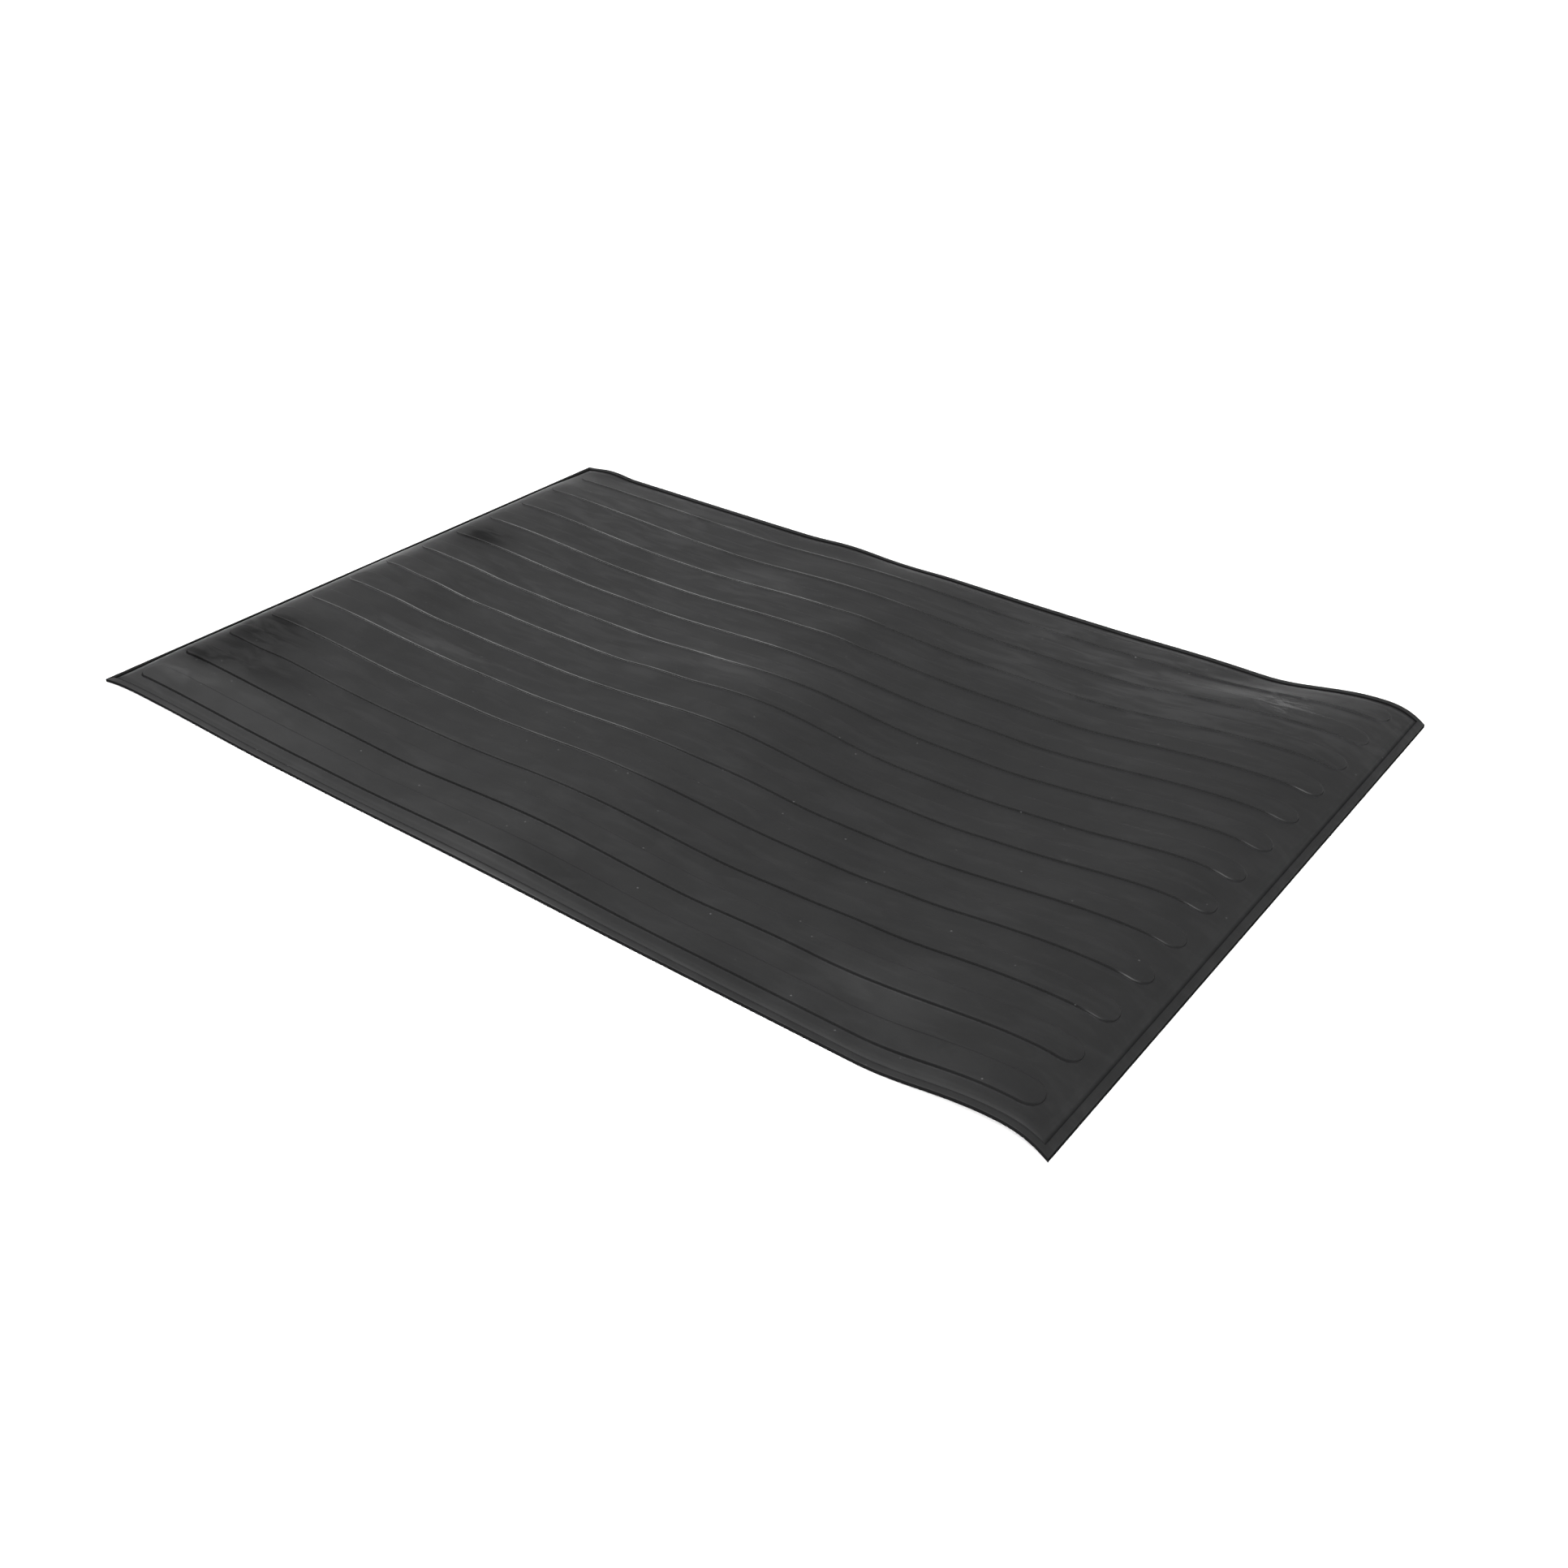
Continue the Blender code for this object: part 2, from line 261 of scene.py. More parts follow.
# Tone that scuffs and specks add, and their roughness for each unit of that tone
DUST_TONE = 0.045
DUST_ROUGHNESS = 4.0

# Fine grain, and the unevenness of the moulding
GRAIN_SCALE = 900
GRAIN_DEPTH = 0.05 * MM
MOULDING_DEPTH = 0.5 * MM
MOULDING_STRENGTH = 0.1

# The rubbers: name, colour, roughness, strength of the grain, share of the dirt and of the painted
# sheen and shade
SHEET_RUBBER = ("satin_rubber", (0.0152, 0.0152, 0.0154), 0.36, 0.3, 1.0)
EDGE_RUBBER = ("edge_rubber", (0.0140, 0.0140, 0.0142), 0.45, 0.3, 0.5)
BASE_RUBBER = ("matt_base_rubber", (0.014, 0.014, 0.0142), 0.62, 0.6, 1.0)
SPONGE = ("sponge_rubber", (0.05, 0.05, 0.05), 0.9, 1.0, 0.0)

# The room is brighter near the horizon than overhead: Z of the direction where it starts to
# darken and where it is darkest
HORIZON_STRENGTH = 0.34
ZENITH_STRENGTH = 0.11
ROOM_FADE = (0.1, 0.75)

# Two broad lights: strength, angle in degrees, and the direction it comes from
TOP_LIGHT = (1.5, 40, (-0.3, 0.2, 1.0))
FRONT_LIGHT = (5.4, 25, (0.35, -0.68, 0.65))

# Two panels that only reflect: place, target, width, height and power. The left one draws the
# bright lines along the treads, the front one the glints just before their right ends.
LEFT_PANEL = ((-1.73, -0.30, 2.52), (-0.1, 0, 0), 1.5, 0.5, 46)
FRONT_PANEL = ((0.46, -1.17, 2.21), (0.42, 0, 0), 0.36, 0.8, 40)

# The floor, which lies just below the mat
FLOOR_HALF_SIZE = 15
FLOOR_DROP = 0.05 * MM
FLOOR_TONE = 0.96
FLOOR_ROUGHNESS = 0.9

# The camera: lens and sensor in millimetres, angles in degrees
CAMERA_LENS = 37.76
CAMERA_SENSOR = 36
CAMERA_SHIFT = 0.0342
CAMERA_PLACE = (0.7270, -0.9186, 0.6685)
CAMERA_ANGLES = (57.51, 0.53, 38.63)


# ---------------------------------------------------------------- the wavy surface


def hump(t):
    return 0.5 * (1 + np.cos(np.pi * np.minimum(1.0, np.abs(t))))


def arch(t):
    return 1 - np.minimum(1.0, np.abs(t)) ** ARCH_POWER


def ease(t):
    t = np.clip(t, 0.0, 1.0)
    return t * t * (3 - 2 * t)


def shoulder(t, gentle):
    """A rounded rise from 0 to 1, steepest at its foot."""
    return 1 - (1 - np.clip(t, 0.0, 1.0)) ** np.where(gentle, GENTLE_SHOULDER, STEEP_SHOULDER)


def left_swell(x, y):
    near = LEFT_NEAR_SHARE + (1 - LEFT_NEAR_SHARE) * ease((y + HALF_WIDTH) / LEFT_FADE)
    far = LEFT_FAR_SHARE + (1 - LEFT_FAR_SHARE) * ease((HALF_WIDTH - y) / LEFT_FADE)
    falling_left = arch((LEFT_CREST - x) / (LEFT_CREST + HALF_LENGTH))
    falling_right = hump((x - LEFT_CREST) / (LEFT_FOOT - LEFT_CREST))
    return LEFT_HEIGHT * near * far * np.where(x < LEFT_CREST, falling_left, falling_right)


def middle_swell(x, y):
    bend = ease((y - MIDDLE_BEND_START) / MIDDLE_BEND_LENGTH)
    crest = MIDDLE_CREST + (MIDDLE_FAR_CREST - MIDDLE_CREST) * bend
    run = np.where(x < crest, MIDDLE_LEFT_RUN, MIDDLE_RIGHT_RUN)
    inward = np.clip((HALF_WIDTH - np.abs(y)) / MIDDLE_FADE, 0.0, 1.0)
    share = MIDDLE_EDGE_SHARE + (1 - MIDDLE_EDGE_SHARE) * (1 - (1 - inward) ** 2)
    return MIDDLE_HEIGHT * share * hump((x - crest) / run)


def right_swell(x, y):
    inner = ease((HALF_WIDTH - np.abs(y)) / np.where(y < 0, RIGHT_NEAR_FADE, RIGHT_FAR_FADE))
    height = RIGHT_CORNER_HEIGHT + (RIGHT_HEIGHT - RIGHT_CORNER_HEIGHT) * inner
    crest = RIGHT_CORNER_CREST + (RIGHT_CREST - RIGHT_CORNER_CREST) * inner
    run = RIGHT_CORNER_RUN + (RIGHT_RUN - RIGHT_CORNER_RUN) * inner
    rising = hump((crest - x) / run)
    falling = arch((x - crest) / (HALF_LENGTH - crest))
    return height * np.where(x < crest, rising, falling)


def bulges(x, y):
    total = np.zeros_like(x)
    for middle_x, middle_y, half_length, half_width, height in BULGES:
        total += height * hump((x - middle_x) / half_length) * hump((y - middle_y) / half_width)
    return total


def lift(x, y):
    """Height of the mat's underside above the floor."""
    return left_swell(x, y) + middle_swell(x, y) + right_swell(x, y) + bulges(x, y)


def body_share(x, y):
    """0 in the thin margin beside the edge strips, 1 where the cushion has its full thickness.

    The near margin is thicker, so that hardly a groove is left beside its edge strip.
    """
    along = shoulder((HALF_LENGTH - np.abs(x) - SHEET_INSET) / BEVEL_WIDTH, x < 0)
    across = shoulder((HALF_WIDTH - np.abs(y) - SHEET_INSET) / BEVEL_WIDTH, y > 0)
    across = np.where(y < 0, NEAR_MARGIN_SHARE + (1 - NEAR_MARGIN_SHARE) * across, across)
    return along * across


def polished_and_highlighted(x, y):
    """1 on corners polished by shoes, with their painted highlight; 0 on the mould's finish."""
    left = ease((POLISH_END - x) / POLISH_FADE) * ease((y - POLISH_NEAR_END) / POLISH_NEAR_FADE)
    left = left * (1 - FAR_POLISH_LOSS * ease((y - FAR_POLISH_START) / FAR_POLISH_FADE))
    middle, half_length = RIGHT_POLISH
    low, high = RIGHT_POLISH_RANGE
    right = RIGHT_POLISH_SHARE * hump((x - middle) / half_length) * (y > low) * (y < high)
    return np.maximum(left, right)


def near_facing(outward_y):
    """1 for a side that faces -y, fading out round the ends."""
    return ease((-outward_y - NEAR_FACING_START) / NEAR_FACING_RANGE)


def step_dullness(x, y, outward_y):
    """How dull the side faces of the treads are: most on near faces that are not polished."""
    facing = FAR_FACE_SHARE + (1 - FAR_FACE_SHARE) * ease(-outward_y)
    return facing * (1 - POLISHED_DULL_LOSS * polished_and_highlighted(x, y) * near_facing(outward_y))


def step_soil(y):
    """Tone the treads' dull side faces lose to painted shade, row by row; negative is painted
    light.
    """
    near = ease((HALF_WIDTH - y) / (2 * HALF_WIDTH))
    return FAR_STEP_PAINTED_LIGHT + (NEAR_STEP_PAINTED_SHADE - FAR_STEP_PAINTED_LIGHT) * near


def bevel_matt(x, y):
    """1 along the sloping borders of the top sheet, fading to 0 where it lies level."""
    inward = np.minimum(HALF_LENGTH - np.abs(x), HALF_WIDTH - np.abs(y)) - SHEET_INSET
    return 1 - ease((inward / BEVEL_WIDTH - BEVEL_MATT_START) / BEVEL_MATT_FADE)


def bevel_dull(x):
    """How dull the top sheet's left bevel is, and its painted shade, fading to 0 where it lies
    level.
    """
    inward = x + HALF_LENGTH - SHEET_INSET
    return LEFT_BEVEL_DULL * (1 - ease(inward / (LEFT_BEVEL_FADE * BEVEL_WIDTH)))


def sheet_top(x, y):
    """Height of the top sheet's upper face."""
    return lift(x, y) + MARGIN_TOP + (BODY_TOP - MARGIN_TOP) * body_share(x, y)


# ---------------------------------------------------------------- mesh building


def new_piece(name, points, faces, material, slot, node, crisp=False, **surface):
    """A smooth mesh object that rides on the mat and stands for the given node.

    Each further argument is an attribute of the surface that the materials read, with a value
    for every point: how worn and painted with a highlight, how dull, how much painted shade
    (painted light where negative), or how matt. A crisp piece keeps its sharp edges.
    """
    mesh = bpy.data.meshes.new(name)
    mesh.from_pydata([tuple(point) for point in points], [], faces)
    for attribute, values in surface.items():
        mesh.attributes.new(attribute, "FLOAT", "POINT").data.foreach_set("value", values)
    bm = bmesh.new()
    bm.from_mesh(mesh)
    bmesh.ops.remove_doubles(bm, verts=bm.verts, dist=WELD)
    bmesh.ops.recalc_face_normals(bm, faces=bm.faces)
    bm.to_mesh(mesh)
    bm.free()
    mesh.shade_smooth()
    if crisp:
        mesh.set_sharp_from_angle(angle=math.radians(CRISP_ANGLE))
    mesh.materials.append(material)
    piece = bpy.data.objects.new(name, mesh)
    bpy.context.scene.collection.objects.link(piece)
    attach(piece, "root")
    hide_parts(node)
    return piece


def grid_faces(rows, columns, start=0):
    """Faces of a rows by columns grid of points that is numbered row by row."""
    faces = []
    for row in range(rows - 1):
        for column in range(columns - 1):
            corner = start + row * columns + column
            faces.append((corner, corner + 1, corner + columns + 1, corner + columns))
    return faces


def ring_faces(rings, count):
    """Faces between closed rings of equal length that follow each other."""
    faces = []
    for ring in range(rings - 1):
        for i in range(count):
            j = (i + 1) % count
            a = ring * count
            b = a + count
            faces.append((a + i, a + j, b + j, b + i))
    return faces


def spaced(half_extent, step, margin):
    """Positions from -half_extent to half_extent, finer within the margins."""
    fine = np.arange(0, margin, step / FINE_SPLIT)
    coarse_count = max(2, round(2 * (half_extent - margin) / step))
    inner = np.linspace(-half_extent + margin, half_extent - margin, coarse_count)
    return np.concatenate([-half_extent + fine, inner, (half_extent - fine)[::-1]])


def slab(half_length, half_width, step, low, high):
    """Points and faces of a closed sheet between two height functions."""
    xs = spaced(half_length, step, FINE_MARGIN)
    ys = spaced(half_width, step, FINE_MARGIN)
    grid_x, grid_y = np.meshgrid(xs, ys)
    top = np.stack([grid_x, grid_y, high(grid_x, grid_y)], axis=-1).reshape(-1, 3)
    bottom = np.stack([grid_x, grid_y, low(grid_x, grid_y)], axis=-1).reshape(-1, 3)
    rows, columns = grid_x.shape
    faces = grid_faces(rows, columns)
    faces += [tuple(reversed(face)) for face in grid_faces(rows, columns, rows * columns)]
    border = list(range(columns))
    border += [row * columns + columns - 1 for row in range(1, rows)]
    border += [(rows - 1) * columns + column for column in range(columns - 2, -1, -1)]
    border += [row * columns for row in range(rows - 2, 0, -1)]
    for a, b in zip(border, border[1:] + border[:1]):
        faces.append((a, a + rows * columns, b + rows * columns, b))
    return np.concatenate([top, bottom]), faces


# Cross-section of a tread from its foot inwards, in millimetres: outset from the nominal outline,
# height, how far shoes can polish it (which also sets its painted highlight), and how dull it is
# where they have not (which also sets its painted shade). Then the middle line of its underside.
TREAD_PROFILE = (
    (1.30, -0.06, 0, 0.0),
    (0.90, 0.01, 0, 0.3),
    (0.40, 0.04, 0, 0.8),
    (0.14, 0.10, 0, 1.0),
    (0.04, 0.24, 0, 1.0),
    (0.00, 0.48, 0, 1.0),
    (-0.04, 0.70, 0.5, 1.0),
    (-0.12, 0.86, 1, 1.0),
    (-0.24, 0.99, 1, 1.0),
    (-0.40, 1.09, 1, 1.0),
    (-0.60, 1.16, 1, 0.9),
    (-0.85, 1.20, 0.6, 0.5),
    (-1.20, 1.21, 0, 0.0),
    (-2.40, 1.20, 0, 0.0),
    (-4.00, 1.20, 0, 0.0),
    (-6.50, 1.19, 0, 0.0),
    (-9.00, 1.19, 0, 0.0),
    (-10.50, 1.19, 0, 0.0),
)
TREAD_UNDERSIDE = (-10.50, -0.06, 0, 0.0)


def tread_piece(node, material):
    """One raised tread: rings that follow its outline, from its underside round to its top."""
    low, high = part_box(node)
    middle = (low[1] + high[1]) / 2
    radius = (high[1] - low[1]) / 2
    straight = (high[0] - low[0]) / 2 - radius
    along = np.linspace(-straight, straight, round(2 * straight / TREAD_STEP) + 1)
    turn = np.linspace(-math.pi / 2, math.pi / 2, TREAD_END_POINTS)[1:-1]
    end = np.full(turn.size, straight)
    centres = np.concatenate([along, end, along[::-1], -end])
    outward_x = np.concatenate([along * 0, np.cos(turn), along * 0, -np.cos(turn)])
    outward_y = np.concatenate([along * 0 - 1, np.sin(turn), along * 0 + 1, -np.sin(turn)])
    rings, wear, dull, soil = [], [], [], []
    for outset, height, polish, dullness in (TREAD_UNDERSIDE,) + TREAD_PROFILE:
        reach = radius + outset * MM
        x = centres + outward_x * reach
        y = middle + outward_y * reach
        rings.append(np.stack([x, y, sheet_top(x, y) + height * MM], axis=-1))
        # where corners are polished and painted with a highlight
        wear.append(polish * polished_and_highlighted(x, y) * near_facing(outward_y))
        dull.append(dullness * step_dullness(x, y, outward_y))
        # painted shade on the dull side faces, painted light in the far rows
        soil.append(dull[-1] * step_soil(y))
    new_piece(
        node + "_rubber",
        np.concatenate(rings),
        ring_faces(len(rings), centres.size),
        material,
        "rubber_tread",
        node,
        wear=np.concatenate(wear),
        dull=np.concatenate(dull),
        soil=np.concatenate(soil),
    )


# Cross-section of an edge strip in millimetres, from the foot of its outer face round to its inner
# flare and down: distance in from the mat's edge, height
EDGE_PROFILE = (
    (0.12, 0.00),
    (0.00, 0.12),
    (0.00, 1.10),
    (0.00, 2.45),
    (0.03, 2.60),
    (0.09, 2.70),
    (0.20, 2.77),
    (0.45, 2.80),
    (2.00, 2.80),
    (3.40, 2.80),
    (4.60, 2.78),
    (4.98, 2.72),
    (5.20, 2.60),
    (5.33, 2.42),
    (5.38, 2.20),
    (5.42, 1.86),
    (5.50, 1.66),
    (5.64, 1.55),
    (6.10, 1.48),
    (5.30, 1.40),
    (5.30, 0.90),
    (5.30, 0.00),
)

# The insets, in millimetres, where its outer face ends and where its inner face starts
EDGE_FACES = (0.15, 4.9)

# How dull the outer face, the top and the inner face of each edge strip are, which also sets their
# painted shade
EDGE_DULL = {
    "front_edge_strip": (0.8, 0.15, 0.15),
    "back_edge_strip": (1.0, 0.3, 1.0),
    "left_edge_strip": (1.0, 0.75, 1.0),
    "right_edge_strip": (0.9, 0.1, 0.3),
}


def edge_piece(node, along_x, side, material):
    """One mitred edge strip, swept along its side of the mat."""
    half_run = HALF_LENGTH if along_x else HALF_WIDTH
    half_off = HALF_WIDTH if along_x else HALF_LENGTH
    stations = np.linspace(-1, 1, round(2 * half_run / EDGE_STEP) + 1)
    inset = np.array([point[0] for point in EDGE_PROFILE]) * MM
    height = np.array([point[1] for point in EDGE_PROFILE]) * MM
    sections = []
    for share in stations:
        run = share * (half_run - inset)
        off = side * (half_off - inset)
        x, y = (run, off) if along_x else (off, run)
        sections.append(np.stack([x, y, lift(x, y) + height], axis=-1))
    count = len(EDGE_PROFILE)
    faces = ring_faces(len(sections), count)
    faces.append(tuple(range(count)))
    faces.append(tuple(reversed(range((len(sections) - 1) * count, len(sections) * count))))
    face_of_point = [sum(place >= limit for limit in EDGE_FACES) for place, _ in EDGE_PROFILE]
    dull = np.tile([EDGE_DULL[node][face] for face in face_of_point], len(sections))
    new_piece(
        node + "_rubber",
        np.concatenate(sections),
        faces,
        material,
        "rubber_edge",
        node,
        crisp=True,
        dull=dull,
        # painted shade on the dull faces
        soil=BORDER_PAINTED_SHADE * dull,
    )


# ---------------------------------------------------------------- materials


class Graph:
    """The nodes of a material or of the world, with short ways to add more."""

    def __init__(self, tree):
        self.nodes = tree.nodes
        self.links = tree.links

    def feed(self, socket, value):
        """Link a socket to another, or set it where the value is a number or a tuple."""
        if isinstance(value, bpy.types.NodeSocket):
            self.links.new(value, socket)
        else:
            socket.default_value = value

    def noise(self, vector, scale, detail, distortion):
        """A cloudy pattern over the piece, about 0.3 to 0.7."""
        texture = self.nodes.new("ShaderNodeTexNoise")
        texture.inputs["Scale"].default_value = scale
        texture.inputs["Detail"].default_value = detail
        texture.inputs["Distortion"].default_value = distortion
        self.links.new(vector, texture.inputs["Vector"])
        return texture.outputs["Fac"]

    def cells(self, vector, scale):
        """The distance to the nearest of many scattered points."""
        texture = self.nodes.new("ShaderNodeTexVoronoi")
        texture.inputs["Scale"].default_value = scale
        self.links.new(vector, texture.inputs["Vector"])
        return texture.outputs["Distance"]

    def attribute(self, name):
        """A value that the piece's mesh holds for each point, 0 where it holds none."""
        node = self.nodes.new("ShaderNodeAttribute")
        node.attribute_name = name
        return node.outputs["Fac"]

    def remap(self, value, from_low, from_high, to_low, to_high):
        """The value moved smoothly from one range to another, and held at its ends."""
        node = self.nodes.new("ShaderNodeMapRange")
        node.interpolation_type = "SMOOTHSTEP"
        node.inputs["From Min"].default_value = from_low
        node.inputs["From Max"].default_value = from_high
        node.inputs["To Min"].default_value = to_low
        node.inputs["To Max"].default_value = to_high
        self.links.new(value, node.inputs["Value"])
        return node.outputs["Result"]

    def math(self, operation, a, b):
        """Two values brought together; either may be a plain number."""
        node = self.nodes.new("ShaderNodeMath")
        node.operation = operation
        self.feed(node.inputs[0], a)
        self.feed(node.inputs[1], b)
        return node.outputs["Value"]

    def product(self, a, b):
        return self.math("MULTIPLY", a, b)

    def total(self, a, b):
        return self.math("ADD", a, b)

    def rest(self, a):
        """What is left of 1 when a is taken off."""
        return self.math("SUBTRACT", 1.0, a)

    def vector_math(self, operation, a, b):
        node = self.nodes.new("ShaderNodeVectorMath")
        node.operation = operation
        self.feed(node.inputs[0], a)
        self.feed(node.inputs["Scale" if operation == "SCALE" else 1], b)
        return node.outputs["Vector"]

    def length(self, vector):
        node = self.nodes.new("ShaderNodeVectorMath")
        node.operation = "LENGTH"
        self.links.new(vector, node.inputs[0])
        return node.outputs["Value"]

    def spot(self, vector, middle_x, middle_y, half_length, half_width):
        """1 at a place on the mat, fading to 0 round it."""
        moved = self.vector_math("SUBTRACT", vector, (middle_x, middle_y, 0))
        scaled = self.vector_math("MULTIPLY", moved, (1 / half_length, 1 / half_width, 0))
        return self.remap(self.length(scaled), SPOT_CORE, 1.0, 1.0, 0.0)

    def bump(self, strength, distance, height):
        node = self.nodes.new("ShaderNodeBump")
        self.links.new(strength, node.inputs["Strength"])
        node.inputs["Distance"].default_value = distance
        self.links.new(height, node.inputs["Height"])
        return node


def node_material(name):
    material = bpy.data.materials.new(name)
    material.use_nodes = True
    return material, Graph(material.node_tree), material.node_tree.nodes["Principled BSDF"]


def rubber_tone(graph, place, broad, clouds, streaks, dirt_and_painted_light):
    """Broad clouds, fainter small ones, wiping streaks along the mat, smudges, painted sheen and
    shade.
    """
    tone = graph.remap(broad, *BROAD_TONE)
    tone = graph.product(tone, graph.remap(clouds, *CLOUD_TONE))
    tone = graph.product(tone, graph.remap(streaks, *STREAK_TONE))
    patchy = graph.remap(streaks, *SMUDGE_AND_PAINTED_LIGHT_PATCHES)
    for *where, change in SMUDGES_AND_PAINTED_LIGHT:
        share = graph.product(graph.spot(place, *where), patchy)
        share = graph.product(share, change * dirt_and_painted_light)
        tone = graph.product(tone, graph.total(share, 1.0))
    return tone


def rubber_dust(graph, place, along, dirt_and_painted_light):
    """Chalky scuffs at one place, and single light specks."""
    scuff_marks = graph.noise(along, *SCUFF_MARKS)
    scuffs = graph.product(graph.spot(place, *SCUFFS), graph.remap(scuff_marks, *SCUFF_PATCHES))
    specks = graph.remap(graph.cells(place, SPECK_SCALE), *SPECK_EDGE)
    return graph.product(graph.math("MAXIMUM", scuffs, specks), DUST_TONE * dirt_and_painted_light)


def rubber_relief(graph, place, along, wear, skin, grain_strength):
    """Fine grain, gone from polished and dull faces, over slight unevenness of the moulding."""
    unworn = graph.remap(wear, 0.0, 1.0, grain_strength, 0.0)
    grain = graph.bump(graph.product(unworn, skin), GRAIN_DEPTH, graph.cells(place, GRAIN_SCALE))
    strength = graph.remap(skin, 0.0, 1.0, 0.0, MOULDING_STRENGTH)
    uneven = graph.bump(strength, MOULDING_DEPTH, graph.noise(along, *MOULDING))
    graph.links.new(grain.outputs["Normal"], uneven.inputs["Normal"])
    return uneven.outputs["Normal"]


def rubber(name, colour, roughness, grain_strength, dirt_and_painted_light):
    """Satin black rubber: cloudy tone and gloss, chalky scuffs, specks, fine grain, painted sheen
    and shade.
    """
    material, graph, shader = node_material(name)
    coordinates = graph.nodes.new("ShaderNodeTexCoord")
    place = coordinates.outputs["Object"]
    stretched = graph.nodes.new("ShaderNodeMapping")
    stretched.inputs["Scale"].default_value = STRETCH
    graph.links.new(place, stretched.inputs["Vector"])
    along = stretched.outputs["Vector"]

    broad = graph.noise(place, *BROAD)
    clouds = graph.noise(place, *CLOUDS)
    streaks = graph.noise(along, *STREAKS)
    tone = rubber_tone(graph, place, broad, clouds, streaks, dirt_and_painted_light)
    dust = rubber_dust(graph, place, along, dirt_and_painted_light)

    # Painted highlight: polished corners are painted a little paler, unevenly. Painted shade: dull
    # faces are painted darker (lighter, as painted light, in the far rows)
    wear = graph.attribute("wear")
    uneven_wear = graph.remap(graph.noise(place, *UNEVEN_HIGHLIGHT), *HIGHLIGHT_PATCHES)
    painted_highlight = graph.product(graph.product(wear, uneven_wear), PAINTED_CORNER_HIGHLIGHT)
    base = graph.nodes.new("ShaderNodeRGB")
    base.outputs["Color"].default_value = (*colour, 1)
    toned = graph.vector_math("SCALE", base.outputs["Color"], tone)
    dust_and_highlight = graph.vector_math("ADD", toned, graph.total(dust, painted_highlight))
    shaded = graph.vector_math("SCALE", dust_and_highlight, graph.rest(graph.attribute("soil")))
    graph.links.new(shaded, shader.inputs["Base Color"])

    # Upright and dull faces have no sheen, moulded top faces have the satin skin
    upright = graph.nodes.new("ShaderNodeSeparateXYZ")
    graph.links.new(coordinates.outputs["Normal"], upright.inputs["Vector"])
    skin = graph.remap(upright.outputs["Z"], SKIN_START, SKIN_FULL, 0.0, 1.0)
    skin = graph.product(skin, graph.rest(graph.attribute("dull")))
    worn_place = graph.product(graph.spot(place, *MATT_PLACE), MATT_PLACE_SHARE)
    matt = graph.math("MAXIMUM", graph.attribute("matt"), worn_place)
    sheen = graph.product(graph.remap(skin, 0.0, 1.0, 0.0, SKIN_SHEEN), tone)
    sheen = graph.product(sheen, graph.rest(graph.product(matt, MATT_LOSS)))
    graph.links.new(sheen, shader.inputs["Specular IOR Level"])

    cloud_low, cloud_high, smoother, rougher = CLOUD_ROUGHNESS
    gloss = graph.remap(clouds, cloud_low, cloud_high, roughness + smoother, roughness + rougher)
    gloss = graph.total(gloss, graph.remap(broad, *BROAD_ROUGHNESS))
    gloss = graph.total(gloss, graph.product(dust, DUST_ROUGHNESS))
    rubbed = graph.remap(graph.noise(place, *RUBBING), *RUBBED_SMOOTHER)
    gloss = graph.total(gloss, graph.product(wear, rubbed))
    gloss = graph.total(gloss, graph.product(matt, MATT_ROUGHNESS))
    gloss = graph.total(gloss, graph.remap(skin, 0.0, 1.0, DULL_ROUGHNESS, 0.0))
    graph.links.new(gloss, shader.inputs["Roughness"])

    relief = rubber_relief(graph, place, along, wear, skin, grain_strength)
    graph.links.new(relief, shader.inputs["Normal"])
    return material


# ---------------------------------------------------------------- the pieces


def make_mat():
    sheet_rubber = rubber(*SHEET_RUBBER)
    edge_rubber = rubber(*EDGE_RUBBER)

    points, faces = slab(
        HALF_LENGTH - SHEET_INSET + TUCK,
        HALF_WIDTH - SHEET_INSET + TUCK,
        SHEET_STEP,
        lambda x, y: sheet_top(x, y) - PLY,
        sheet_top,
    )
    x, y = points[:, 0], points[:, 1]
    new_piece(
        "top_sheet_rubber",
        points,
        faces,
        sheet_rubber,
        "rubber_sheet",
        "top_sheet",
        dull=bevel_dull(x),
        # painted shade on the left bevel
        soil=BORDER_PAINTED_SHADE * bevel_dull(x),
        matt=bevel_matt(x, y),
    )

    points, faces = slab(
        HALF_LENGTH - SHEET_INSET + TUCK,
        HALF_WIDTH - SHEET_INSET + TUCK,
        SHEET_STEP,
        lift,
        lambda x, y: lift(x, y) + PLY,
    )
    base_rubber = rubber(*BASE_RUBBER)
    new_piece("base_sheet_rubber", points, faces, base_rubber, "rubber_base", "base_sheet")

    points, faces = slab(
        HALF_LENGTH - CORE_INSET,
        HALF_WIDTH - CORE_INSET,
        CORE_STEP,
        lambda x, y: lift(x, y) + PLY + GAP,
        lambda x, y: sheet_top(x, y) - PLY - GAP,
    )
    sponge = rubber(*SPONGE)
    core = new_piece("sponge_core_slab", points, faces, sponge, "sponge_rubber", "sponge_core")

    for node in TREADS:
        tread_piece(node, sheet_rubber)
    edge_piece("front_edge_strip", True, -1, edge_rubber)
    edge_piece("back_edge_strip", True, 1, edge_rubber)
    edge_piece("left_edge_strip", False, -1, edge_rubber)
    edge_piece("right_edge_strip", False, 1, edge_rubber)


# ---------------------------------------------------------------- the studio


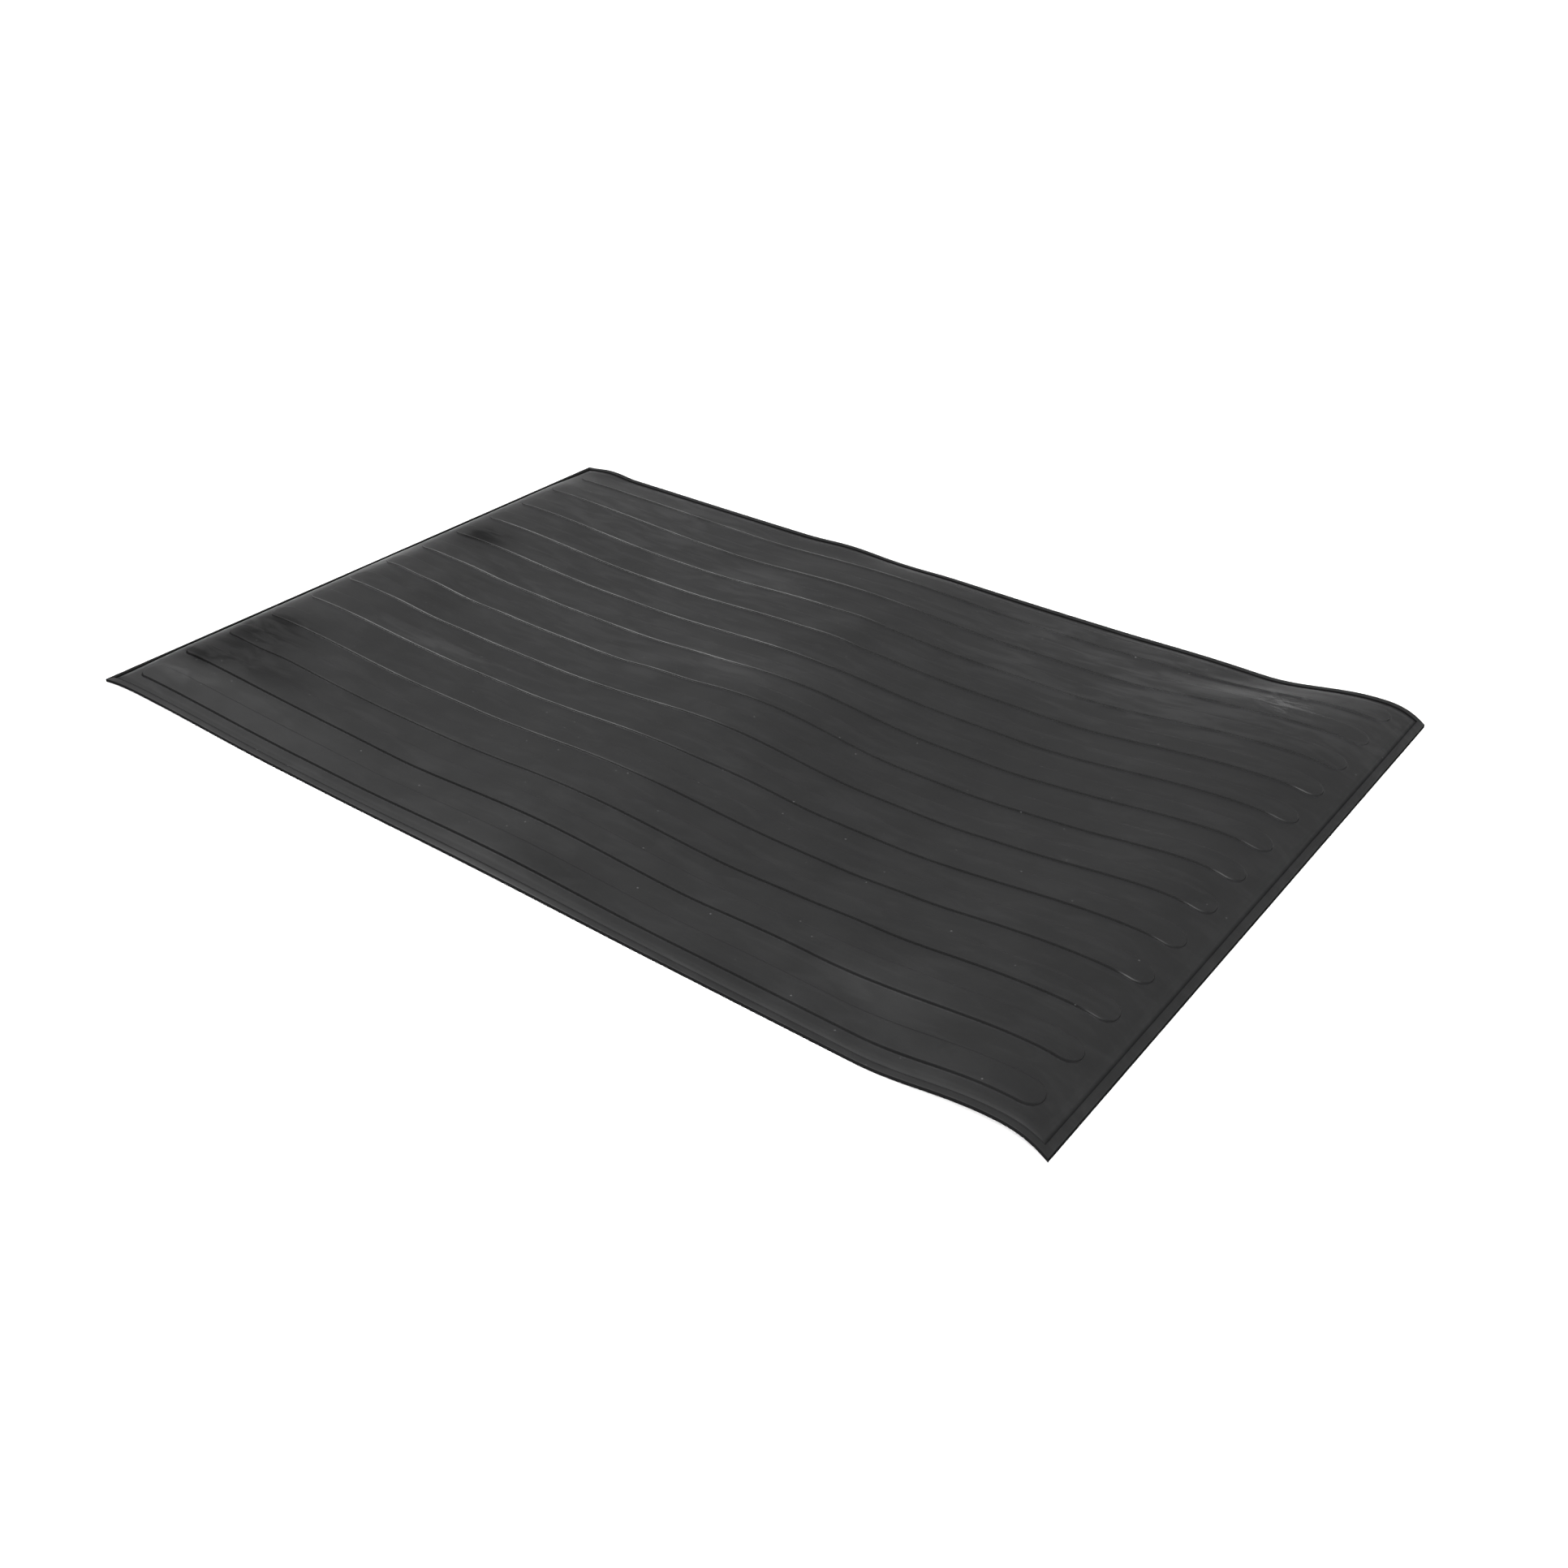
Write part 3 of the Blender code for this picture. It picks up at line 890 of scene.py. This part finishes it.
def reflected_panel(name, place, target, width, height, power):
    """A panel of light that shows only as a reflection."""
    light = bpy.data.lights.new(name, "AREA")
    light.shape = "RECTANGLE"
    light.size = width
    light.size_y = height
    light.energy = power
    lamp = bpy.data.objects.new(name, light)
    lamp.location = place
    lamp.rotation_euler = (Vector(target) - Vector(place)).to_track_quat("-Z", "Y").to_euler()
    lamp.visible_diffuse = False
    bpy.context.scene.collection.objects.link(lamp)


def sun_lamp(name, strength, angle, source):
    """A broad, even light that leaves no reflection of its own."""
    light = bpy.data.lights.new(name, "SUN")
    light.energy = strength
    light.angle = math.radians(angle)
    lamp = bpy.data.objects.new(name, light)
    lamp.visible_glossy = False
    lamp.rotation_euler = Vector(source).to_track_quat("Z", "Y").to_euler()
    bpy.context.scene.collection.objects.link(lamp)


def make_studio():
    mesh = bpy.data.meshes.new("floor")
    bm = bmesh.new()
    bmesh.ops.create_grid(bm, x_segments=1, y_segments=1, size=FLOOR_HALF_SIZE)
    bm.to_mesh(mesh)
    bm.free()
    floor = bpy.data.objects.new("floor", mesh)
    floor.location = (0, 0, -FLOOR_DROP)
    material, _, shader = node_material("pale_floor")
    shader.inputs["Base Color"].default_value = (FLOOR_TONE, FLOOR_TONE, FLOOR_TONE, 1)
    shader.inputs["Roughness"].default_value = FLOOR_ROUGHNESS
    shader.inputs["Specular IOR Level"].default_value = 0.0
    mesh.materials.append(material)
    bpy.context.scene.collection.objects.link(floor)

    world = bpy.data.worlds.new("studio")
    bpy.context.scene.world = world
    world.use_nodes = True
    background = world.node_tree.nodes["Background"]
    background.inputs["Color"].default_value = (1, 1, 1, 1)
    graph = Graph(world.node_tree)
    direction = graph.nodes.new("ShaderNodeTexCoord")
    parts = graph.nodes.new("ShaderNodeSeparateXYZ")
    graph.links.new(direction.outputs["Generated"], parts.inputs["Vector"])
    strength = graph.remap(parts.outputs["Z"], *ROOM_FADE, HORIZON_STRENGTH, ZENITH_STRENGTH)
    graph.links.new(strength, background.inputs["Strength"])

    sun_lamp("top_light", *TOP_LIGHT)
    sun_lamp("front_light", *FRONT_LIGHT)
    reflected_panel("left_panel", *LEFT_PANEL)
    reflected_panel("front_panel", *FRONT_PANEL)


def make_camera():
    camera_data = bpy.data.cameras.new("camera")
    camera_data.lens = CAMERA_LENS
    camera_data.sensor_width = CAMERA_SENSOR
    camera_data.shift_x = CAMERA_SHIFT
    camera = bpy.data.objects.new("camera", camera_data)
    camera.location = CAMERA_PLACE
    camera.rotation_euler = [math.radians(angle) for angle in CAMERA_ANGLES]
    bpy.context.scene.collection.objects.link(camera)
    bpy.context.scene.camera = camera


make_mat()
make_studio()
make_camera()
bpy.context.scene.view_settings.view_transform = "Standard"
